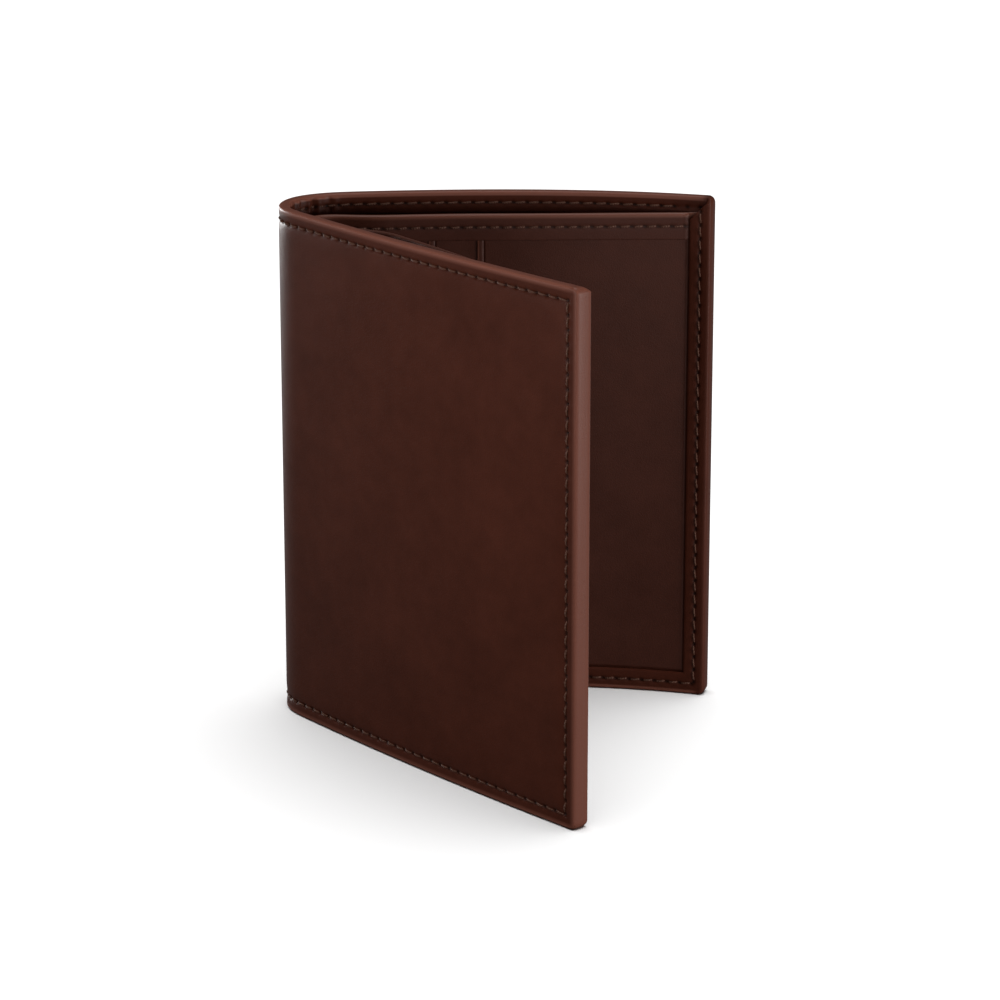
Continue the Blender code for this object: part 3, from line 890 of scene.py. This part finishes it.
@dataclass
class Cover:
    """Half of the outer leather, from the middle of the spine round one leaf's turned edges.

    The rim's section is a superellipse, squarer for a smaller square; the free-edge share, 0 to 1,
    is how far the free edge takes the lighter edge tone, partly real rubbing and partly a painted
    highlight; the bottom edge thickens over the swell interval of s.
    """

    leaf: Leaf
    side_wear: float
    rim: float = 0.85
    square: float = 0.62
    swell: Span = (9.0, 17.0)
    pillow: float = 0.16
    pillow_width: float = 1.6
    hem_relief: float = 0.7
    pleats_from: float = 105.0
    sharp: float = 40.0

    def border(self, inset: Array) -> tuple[Array, Array, Array]:
        """Flat path along the top, free side and bottom, drawn in by an inset.

        Corners are arcs of the corner radius less the inset, and mitres once that is used up.

        Args:
            inset: distances from the rim, (rows, 1).

        Returns:
            s and z, (rows, columns), and for each column the share of the way from the top
            edge's thickness 0 to the side's 1.
        """
        edge, height = SIZES.edge, SIZES.height
        run = spaced((0.0, 0.0), (1.5, 0.25), (30.0, 0.5), (edge, 0.5)) / edge
        turn = np.linspace(0.0, 0.5 * HALF_TURN, 9)[1:-1]
        fall = np.linspace(0.0, 1.0, 221)[None]
        radius = np.maximum(SIZES.corner, inset)
        arc = np.maximum(SIZES.corner - inset, 0.0)
        top_s = run[None] * (edge - radius)
        top_z = np.broadcast_to(height - inset, top_s.shape)
        corner_s = edge - radius + arc * np.sin(turn)[None]
        corner_z = height - radius + arc * np.cos(turn)[None]
        side_z = (height - radius) + fall * (2.0 * radius - height)
        side_s = np.broadcast_to(edge - inset, side_z.shape)
        s = np.concatenate((top_s, corner_s, side_s, corner_s[:, ::-1], top_s[:, ::-1]), axis=1)
        low_z = (height - corner_z[:, ::-1], height - top_z)
        z = np.concatenate((top_z, corner_z, side_z, *low_z), axis=1)
        start, rest = np.zeros(len(run)), np.ones(s.shape[1] - len(run) - len(turn))
        return s, z, np.concatenate((start, np.linspace(0.0, 1.0, len(turn)), rest))

    def section(self) -> tuple[Array, Array, dict[str, slice]]:
        """Section from the outer face over the rolled rim to the hem and back under it.

        Returns:
            Insets from the rim (rows, 1), angles round the rim, and the rows of each part.
        """
        middle, rim = SIZES.middle, self.rim
        angle = np.linspace(0.0, HALF_TURN, 19)[1:-1]
        parts = {
            "face": spaced(
                (middle, middle), (10.0, 2.4), (5.0, 0.9), (3.9, 0.22), (2.1, 0.15), (rim, 0.2)
            ),
            "roll": rim * (1.0 - np.sin(angle) ** self.square),
            "hem": spaced((rim, rim), (1.8, 0.3), (3.4, 0.15), (4.8, 0.35)),
            "under": np.array([5.05, 5.05, 4.8, 1.2, 0.8]),
            "slab": np.array([0.8, 1.2, 4.0, 10.0, 30.0, middle]),
        }
        rows, end = {}, 0
        for name, part in parts.items():
            rows[name] = slice(end, end + len(part))
            end += len(part)
        return np.concatenate(list(parts.values()))[:, None], angle, rows

    def depths(self, thick: Array, angle: Array, rows: dict[str, slice]) -> Array:
        """Depth of every place before the seams press into it.

        Args:
            thick: thickness of the turned edge at every place.
            angle, rows: angles round the rim, and the rows of each part of the section.

        Returns:
            t at every place.
        """
        t = np.zeros(thick.shape)
        round_t = 1.0 - np.sign(np.cos(angle)) * np.abs(np.cos(angle)) ** self.square
        t[rows["roll"]] = 0.5 * thick[rows["roll"]] * round_t[:, None]
        t[rows["hem"]] = thick[rows["hem"]]
        drop = np.array([0.12, SIZES.fold - 0.1, SIZES.fold, SIZES.fold, SIZES.fold])[:, None]
        t[rows["under"]] = thick[rows["under"]] - drop
        t[rows["slab"]] = SIZES.leather
        return t

    def build(self) -> Piece:
        """Carry the turned-edge section round the border.

        Returns:
            The finished half cover.
        """
        inset, angle, rows = self.section()
        s, z, share = self.border(inset)
        start, stop = self.swell
        share = np.where(z < SIZES.middle, ease((s - start) / (stop - start)), share[None])
        thick = SIZES.thick_top + (SIZES.thick - SIZES.thick_top) * share
        t = self.depths(thick, angle, rows)
        outer, roll, inner = (np.zeros(s.shape) for _ in range(3))
        outer[rows["face"]] = roll[rows["roll"]] = inner[rows["hem"]] = 1.0
        pillow = self.pillow * bell(inset - SIZES.seam, self.pillow_width)
        outer_relief, outer_hole_shade = SEAM_MARKS.relief(s, z, SIZES.seam)
        inner_relief, inner_hole_shade = SEAM_MARKS.relief(s, z, SIZES.hem_seam)
        t += outer * (outer_relief + pillow) - self.hem_relief * inner * inner_relief
        signed = self.leaf.value * s
        t += inner * ease((z - self.pleats_from) / 3.0) * PLEATS.rise(signed, z)
        inside_v = np.where(t > 0.5 * thick, 2.0 * (SIZES.middle - z) + 120.0, 0.0)
        # Rolled rim, a band beside it on the face and the hem's edge take the lighter tone: partly
        # real rubbing, partly painted highlight along the lit rims.
        bands = 0.6 * outer * ease((1.5 - inset) / 0.7) + inner * ease((1.1 - inset) / 0.3)
        on_side = ease((s - SIZES.edge + 3.0) / 1.5)
        marks = {
            "wear": np.maximum(roll, bands) * (1.0 - (1.0 - self.side_wear) * on_side),
            # Needle holes of both rows: painted shade.
            "hole": outer * outer_hole_shade + inner * inner_hole_shade,
        }
        piece = grid_solid(
            f"{self.leaf.word}_cover_leather", signed, t, z, (signed, z + inside_v),
            sharp=self.sharp, marks=marks,
        )
        COVER_FINISH.dress(piece)
        bend_with(piece)
        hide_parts(f"{self.leaf.word}_cover", "spine_cover")
        return piece


@dataclass
class Lining:
    """Half of the woven lining inside the cover."""

    leaf: Leaf
    top: float = 113.7
    depths: Span = (1.45, 1.78)
    pleat_share: float = 0.8

    def build(self) -> Piece:
        """Sweep an upright section along s, rippled by the pleats near the spine.

        Returns:
            The finished half lining.
        """
        low = SIZES.inner_inset
        steps = spaced((low, low), (80.0, 6.0), (self.top, 1.5))
        z, t = slab_section(low, self.top, self.depths, steps)
        s = spaced((0.0, 0.0), (30.0, 0.4), (SIZES.edge - SIZES.inner_inset, 2.0))
        grid_s = np.broadcast_to((self.leaf.value * s)[:, None], (len(s), len(z)))
        grid_z = np.broadcast_to(z[None], grid_s.shape)
        upper = ease((grid_z - 60.0) / 40.0)
        grid_t = t[None] + PLEATS.rise(grid_s, grid_z) * upper * self.pleat_share
        piece = grid_solid(
            f"{self.leaf.word}_lining_weave", grid_s, grid_t, grid_z, (grid_s, grid_z + t[None])
        )
        LINING_FINISH.dress(piece)
        bend_with(piece)
        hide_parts(f"{self.leaf.word}_lining", "spine_lining")
        return piece


@dataclass
class Divider:
    """Half of the wall between the note compartment and the pockets, with its turned top edge."""

    leaf: Leaf
    rim: float = 0.62
    bottom: float = 5.6
    back: float = 2.5
    back_step: float = 0.35
    face: float = 3.0
    hem: float = 3.9
    hem_hold: float = 0.8
    channel_width: float = 0.5
    channel_depth: float = 0.1
    pit_width: float = 0.3
    pit_depth: float = 0.26

    def section(self) -> tuple[Array, Array, Array]:
        """Closed upright section: up the back, over the rolled top edge, down the hem and face.

        Returns:
            z, t, and which points belong to the hem side, as arrays round the section.
        """
        top = SIZES.divider_top
        foot = top - SIZES.divider_hem
        rim_foot = top - self.rim
        back_z = spaced((self.bottom, self.bottom), (95.0, 6.0), (rim_foot, 1.2))
        back_t = self.back + self.back_step * ease((back_z - 96.0) / 12.0)
        angle = np.linspace(0.0, HALF_TURN, 11)[1:-1]
        rim_z = rim_foot + self.rim * np.sin(angle)
        low, high = back_t[-1], self.hem
        rim_t = 0.5 * (low + high) - 0.5 * (high - low) * np.cos(angle)
        hem_z = spaced((rim_foot, rim_foot), (foot + 0.15, 0.22))
        step_z = np.array([foot, foot, foot + 0.1])
        step_t = np.array([high - 0.1, high - 0.3, high - 0.36])
        face_z = spaced((foot + 0.1, foot + 0.1), (self.bottom, 7.0))
        face_t = np.full(len(face_z), self.face)
        z = np.concatenate((back_z, rim_z, hem_z, step_z, face_z, [self.bottom]))
        t = np.concatenate((back_t, rim_t, np.full(len(hem_z), high), step_t, face_t, [self.back]))
        on_hem, off_hem = np.ones(len(hem_z) + len(step_z)), np.zeros(len(face_z) + 1)
        over = 0.5 - 0.5 * np.cos(angle)
        return z, t, np.concatenate((np.zeros(len(back_z)), over, on_hem, off_hem))

    def build(self) -> Piece:
        """Sweep the section along s, leaning out at the top, with a sewn channel in the hem.

        Returns:
            The finished half divider.
        """
        z, t, hem = self.section()
        foot = SIZES.divider_top - SIZES.divider_hem
        # Thin line at the hem's cut edge, darkened below as a painted shadow under the edge.
        cut_edge_shadow = (np.abs(z - foot) < 0.11) * (hem > 0.9)
        side = SIZES.edge - SIZES.hem
        end = SIZES.edge - SIZES.inner_inset
        s = spaced((0.0, 0.0), (24.0, 0.4), (side - 0.2, 0.5), (end, 1.0))
        grid_s = np.broadcast_to((self.leaf.value * s)[:, None], (len(s), len(z)))
        grid_z = np.broadcast_to(z[None], grid_s.shape)
        held = hem[None] * ease((SIZES.edge - 4.2 - s) / 1.6)[:, None]
        grid_t = t[None] + (held - hem[None]) * self.hem_hold
        along = (side - 1.0 - s)[:, None]
        nearest = from_nearest(along, SIZES.pitch)
        across = grid_z - (SIZES.divider_top - SIZES.seam)
        relief = self.channel_depth * bell(across, self.channel_width)
        relief = relief + self.pit_depth * dimple(across, nearest, self.pit_width)
        sewn = hem[None] * (along > -0.4)
        pits = sewn * dimple(across, nearest, SEAM_MARKS.pit_width)
        # Top edge takes the lighter tone, partly real rubbing and partly painted highlight from
        # light above; needle holes and the cut edge get painted shade.
        marks = {
            "wear": ease((grid_z - SIZES.divider_top + 1.3) / 0.8) * ease(t[None] - 2.8),
            "hole": np.maximum(pits, 0.75 * cut_edge_shadow[None]),
        }
        piece = grid_solid(
            f"{self.leaf.word}_divider_leather", grid_s, grid_t - sewn * relief, grid_z,
            (grid_s, grid_z + 130.0 * (hem[None] > 0.5)), lean=1.0,
            climb=np.broadcast_to(hem[None], grid_s.shape), sharp=45.0, marks=marks,
        )
        PANEL_FINISH.dress(piece)
        bend_with(piece)
        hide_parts(f"{self.leaf.word}_divider", "spine_divider")
        return piece


@dataclass(frozen=True)
class PanelPlan:
    """One pocket panel: mouth and sewn end from the free edge, depths, bottom and climb."""

    name: str
    node: str
    near: float
    far: float
    depths: Span
    bottom: float = 6.2
    climb: float = 0.0


FIRST, SECOND, THIRD = SIZES.mouths
PANELS = (
    PanelPlan("pocket_backing_panel", "pocket_backing", SIZES.backing, 8.0, (3.05, 3.14)),
    PanelPlan("card_panel_3", "card_pocket_3", THIRD, THIRD - SIZES.card_depth, (3.17, 3.34)),
    PanelPlan("card_panel_2", "card_pocket_2", SECOND, SECOND - SIZES.card_depth, (3.37, 3.56)),
    PanelPlan("card_panel_1", "card_pocket_1", FIRST, 1.3, (3.14, 3.45), bottom=1.3, climb=1.0),
)


@dataclass
class CardPockets:
    """The pocket panels of one leaf: upright mouths facing the spine, the top one the widest.

    Each panel has a lip at its mouth, a pressed crease beside it and a slight swell.
    """

    leaf: Leaf
    crease: float = 1.5
    crease_width: float = 0.2
    crease_depth: float = 0.16
    lip: float = 0.7
    lip_width: float = 0.5
    lip_height: float = 0.05
    swell: float = 0.06

    def panel(self, plan: PanelPlan) -> Piece:
        """One panel: a round-edged section across s, swept up z, creased beside its mouth.

        Args:
            plan: the panel's measures.

        Returns:
            The finished panel.
        """
        mouth, end = SIZES.edge - plan.near, SIZES.edge - plan.far
        steps = spaced(
            (mouth, mouth), (mouth + 3.2, 0.12), (mouth + 10.0, 1.0), (end - 9.0, 2.0),
            (end - 5.2, 0.6), (end - 2.5, 0.12), (end, 0.6),
        )
        s, t = slab_section(mouth, end, plan.depths, steps)
        top = SIZES.divider_top - SIZES.divider_hem + 1.0
        z = spaced((plan.bottom, plan.bottom), (6.4, 0.15), (12.0, 0.6), (96.0, 2.0), (top, 1.0))
        grid_z, grid_s = np.meshgrid(z, s, indexing="ij")
        inside = t[None] > np.mean(plan.depths)
        from_mouth = grid_s - mouth
        across = np.clip(from_mouth / (end - mouth), 0.0, 1.0)
        relief = self.lip_height * bell(from_mouth - self.lip, self.lip_width)
        relief = relief + self.swell * np.sin(HALF_TURN * across) * ease((grid_z - 8.0) / 20.0)
        relief = relief - self.crease_depth * bell(from_mouth - self.crease, self.crease_width)
        signed = self.leaf.value * grid_s
        # The mouth edge takes the lighter tone: partly real rubbing, partly a painted highlight
        # along the lit edge.
        piece = grid_solid(
            f"{self.leaf.word}_{plan.name}", signed, t[None] + inside * relief, grid_z,
            (signed, grid_z), lean=1.0, climb=plan.climb,
            marks={"wear": ease((0.6 - np.abs(from_mouth)) / 0.4)},
        )
        PANEL_FINISH.dress(piece)
        bend_with(piece)
        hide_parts(f"{self.leaf.word}_{plan.node}")
        return piece

    def build(self) -> list[Piece]:
        """Make all the panels, from the backing up."""
        return [self.panel(plan) for plan in PANELS]


@dataclass
class Stitching:
    """All the stitch rows of one leaf, with the half of the spine's rows next to it."""

    leaf: Leaf
    outer_depth: float = 0.2
    divider_depth: float = 3.84
    hem_start: float = 18.0
    row: StitchRow = field(default_factory=StitchRow)

    def holes(self, inset: float, start: float = 0.0) -> list[tuple[Array, Array]]:
        """Needle holes of the top, side and bottom rows.

        Args:
            inset: distance of the rows from the edges.
            start: least distance from the middle of the spine.

        Returns:
            s and z of the holes of each row.
        """
        line = SIZES.edge - SIZES.seam
        fall = SIZES.height - 2.0 * SIZES.seam
        top_s = line - np.arange(round(line / TOP_PITCH), -1, -1) * TOP_PITCH
        top_s = top_s[top_s > start - 0.01]
        side_z = SIZES.height - SIZES.seam - np.arange(round(fall / SIDE_PITCH) + 1) * SIDE_PITCH
        sign = self.leaf.value
        return [
            (sign * top_s, np.full(len(top_s), SIZES.height - inset)),
            (np.full(len(side_z), sign * (SIZES.edge - inset)), side_z),
            (sign * top_s, np.full(len(top_s), inset)),
        ]

    def build(self) -> list[Piece]:
        """Outer seam, inner hem seam, top hem seam and divider seam.

        Returns:
            The four objects.
        """
        word, row = self.leaf.word, self.row
        outer = row.build(
            f"{word}_outer_stitches", self.holes(SIZES.seam), self.outer_depth, Side.OUTSIDE
        )
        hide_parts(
            f"{word}_outer_seam_thread", "spine_top_seam_thread",
            "spine_bottom_seam_thread",
        )
        _, *lower = self.holes(SIZES.hem_seam, self.hem_start)
        hem = row.build(f"{word}_hem_stitches", lower, SIZES.thick, Side.INSIDE)
        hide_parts(f"{word}_hem_seam_thread")
        (top_s, top_z), *_ = self.holes(SIZES.hem_seam)
        above = [(top_s[:-2], top_z[:-2])]
        inner_top = row.build(f"{word}_top_stitches", above, SIZES.thick_top, Side.INSIDE)
        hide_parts(f"{word}_top_seam_thread")
        last = SIZES.edge - SIZES.hem - 1.0
        run = last - np.arange(int(last / SIZES.pitch), -1, -1) * SIZES.pitch
        line = (self.leaf.value * run, np.full(len(run), SIZES.divider_top - SIZES.seam))
        across = row.build(
            f"{word}_divider_stitches", [line], self.divider_depth, Side.INSIDE, share=1.0
        )
        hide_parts(f"{word}_divider_seam_thread")
        for piece in (outer, inner_top, across):
            THREAD_FINISH.dress(piece)
            bend_with(piece)
        THREAD_FINISH.dress(hem)
        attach(hem, self.leaf.body)
        return [outer, hem, inner_top, across]


# ---- the studio ---------------------------------------------------------------------------

@dataclass(frozen=True)
class Lamp:
    """Soft light: a rectangular lamp of a size in metres, or even daylight of a width."""

    name: str
    power: float
    place: Place
    target: Place
    size: Span | None = None
    width: float = 0.0

    def build(self, lights: bpy.types.Collection) -> None:
        """Make the light, turned from its place to its target.

        Args:
            lights: the one collection that it lights.
        """
        data = bpy.data.lights.new(self.name, "AREA" if self.size else "SUN")
        data.energy = self.power
        made = bpy.data.objects.new(self.name, data)
        if self.size:
            data.shape = "RECTANGLE"
            data.size, data.size_y = self.size
            made.visible_camera = False
        else:
            data.angle = math.radians(self.width)
        made.location = self.place
        made.rotation_mode = "QUATERNION"
        way = Vector(self.target) - Vector(self.place)
        made.rotation_quaternion = way.to_track_quat("-Z", "Y")
        made.light_linking.receiver_collection = lights
        bpy.context.scene.collection.objects.link(made)


ABOVE = (0.0, 0.0, 0.0)
MIDDLE = (0.02, 0.0, 0.05)
FLOOR_LIGHT = Lamp("floor_daylight", 4.1, ABOVE, (-0.03, -0.02, -1.0), width=66.0)
LEATHER_LIGHTS = (
    Lamp("daylight", 2.0, ABOVE, (0.0, 0.0, -1.0), width=40.0),
    Lamp("front_key", 0.17, (-0.13, -0.115, 0.118), (-0.005, -0.02, 0.095), (0.16, 0.05)),
    Lamp("front_box", 2.6, (0.2, -0.9, 0.06), MIDDLE, (0.7, 0.2)),
    Lamp("right_strip", 2.6, (0.47, -0.26, 0.05), MIDDLE, (0.25, 0.2)),
    Lamp("left_strip", 4.6, (-0.42, 0.6, 0.08), (-0.04, 0.03, 0.06), (0.3, 0.3)),
)


@dataclass
class Studio:
    """Pale floor, soft lights and the camera, with angles in degrees and places in metres."""

    lens: float = 136.9
    pitch: float = 16.79
    heading: float = 5.63
    from_fold: Span = (-0.0361, -0.8148)
    height: float = 0.2917
    floor_half: float = 6.0
    floor_shown: float = 0.9
    floor_bounce: float = 0.18
    surround: float = 0.05

    def camera(self) -> None:
        """Place the camera from the back fold line, looking down at the wallet."""
        joint = CURVE.back_fold()
        data = bpy.data.cameras.new("camera")
        data.lens = self.lens
        data.sensor_width = 36.0
        data.clip_start, data.clip_end = 0.01, 50.0
        made = bpy.data.objects.new("camera", data)
        made.location = (joint[0] + self.from_fold[0], joint[1] + self.from_fold[1], self.height)
        down, turn = math.radians(self.pitch), math.radians(self.heading)
        level = math.cos(down)
        look = Vector((math.sin(turn) * level, math.cos(turn) * level, -math.sin(down)))
        made.rotation_mode = "QUATERNION"
        made.rotation_quaternion = look.to_track_quat("-Z", "Y")
        bpy.context.scene.collection.objects.link(made)
        bpy.context.scene.camera = made

    def floor(self) -> None:
        """Wide pale floor that shows white to the camera and bounces little on the leather."""
        work = bmesh.new()
        bmesh.ops.create_grid(work, x_segments=1, y_segments=1, size=self.floor_half)
        mesh = bpy.data.meshes.new("floor")
        work.to_mesh(mesh)
        work.free()
        made = bpy.data.objects.new("floor", mesh)
        bpy.context.scene.collection.objects.link(made)
        material = bpy.data.materials.new("pale_floor")
        material.use_nodes = True
        tree = material.node_tree
        shown = feed(tree, tree.nodes["Principled BSDF"], {
            "Base Color": rgba((self.floor_shown,) * 3), "Roughness": 0.9, "Specular IOR Level": 0.0
        })
        bounced = feed(tree, "ShaderNodeBsdfDiffuse", {"Color": rgba((self.floor_bounce,) * 3)})
        seen = tree.nodes.new("ShaderNodeLightPath").outputs["Is Camera Ray"]
        mix = feed(tree, "ShaderNodeMixShader", {
            "Fac": seen, 1: bounced.outputs["BSDF"], 2: shown.outputs["BSDF"]
        })
        feed(tree, tree.nodes["Material Output"], {"Surface": mix.outputs["Shader"]})
        made.data.materials.append(material)

    def world(self) -> None:
        """Dim soft surround that shows white to the camera."""
        world = bpy.data.worlds.new("surround")
        world.use_nodes = True
        tree = world.node_tree
        seen = tree.nodes.new("ShaderNodeLightPath").outputs["Is Camera Ray"]
        strength = remap(tree, seen, (0.0, 1.0), (self.surround, 1.0))
        white = rgba((1.0, 1.0, 1.0))
        feed(tree, tree.nodes["Background"], {"Color": white, "Strength": strength})
        bpy.context.scene.world = world

    def build(self) -> None:
        """Set up the camera, floor, surround and lights around the pieces already made."""
        self.camera()
        self.floor()
        self.world()
        leather_only = bpy.data.collections.new("leather_only")
        floor_only = bpy.data.collections.new("floor_only")
        for piece in bpy.context.scene.objects:
            if piece.type == "MESH":
                (floor_only if piece.name == "floor" else leather_only).objects.link(piece)
        FLOOR_LIGHT.build(floor_only)
        for light in LEATHER_LIGHTS:
            light.build(leather_only)
        bpy.context.scene.view_settings.view_transform = "Standard"


# Share of the lighter edge tone on each free edge: partly real rubbing, partly painted highlight,
# more on the front leaf whose free edge faces the lamps.
SIDE_WEAR_AND_HIGHLIGHT = {Leaf.BACK: 0.12, Leaf.FRONT: 0.75}


def main() -> None:
    """Build the wallet leaf by leaf, then the studio around it."""
    logging.basicConfig(level=logging.INFO, format="%(message)s")
    leather_grain_group()
    weave_group()
    ply_group()
    for leaf in Leaf:
        sheets = [Cover(leaf, SIDE_WEAR_AND_HIGHLIGHT[leaf]).build(), Lining(leaf).build(), Divider(leaf).build()]
        for piece in sheets + CardPockets(leaf).build() + Stitching(leaf).build():
            LOG.info("%s", piece.name)
        board = frame["nodes"][f"{leaf.word}_stiffener"]
        BOARD_FINISH.dress(board)
        LOG.info("%s", board.name)
    Studio().build()
    bpy.context.view_layer.update()


if __name__ == "__main__":
    main()
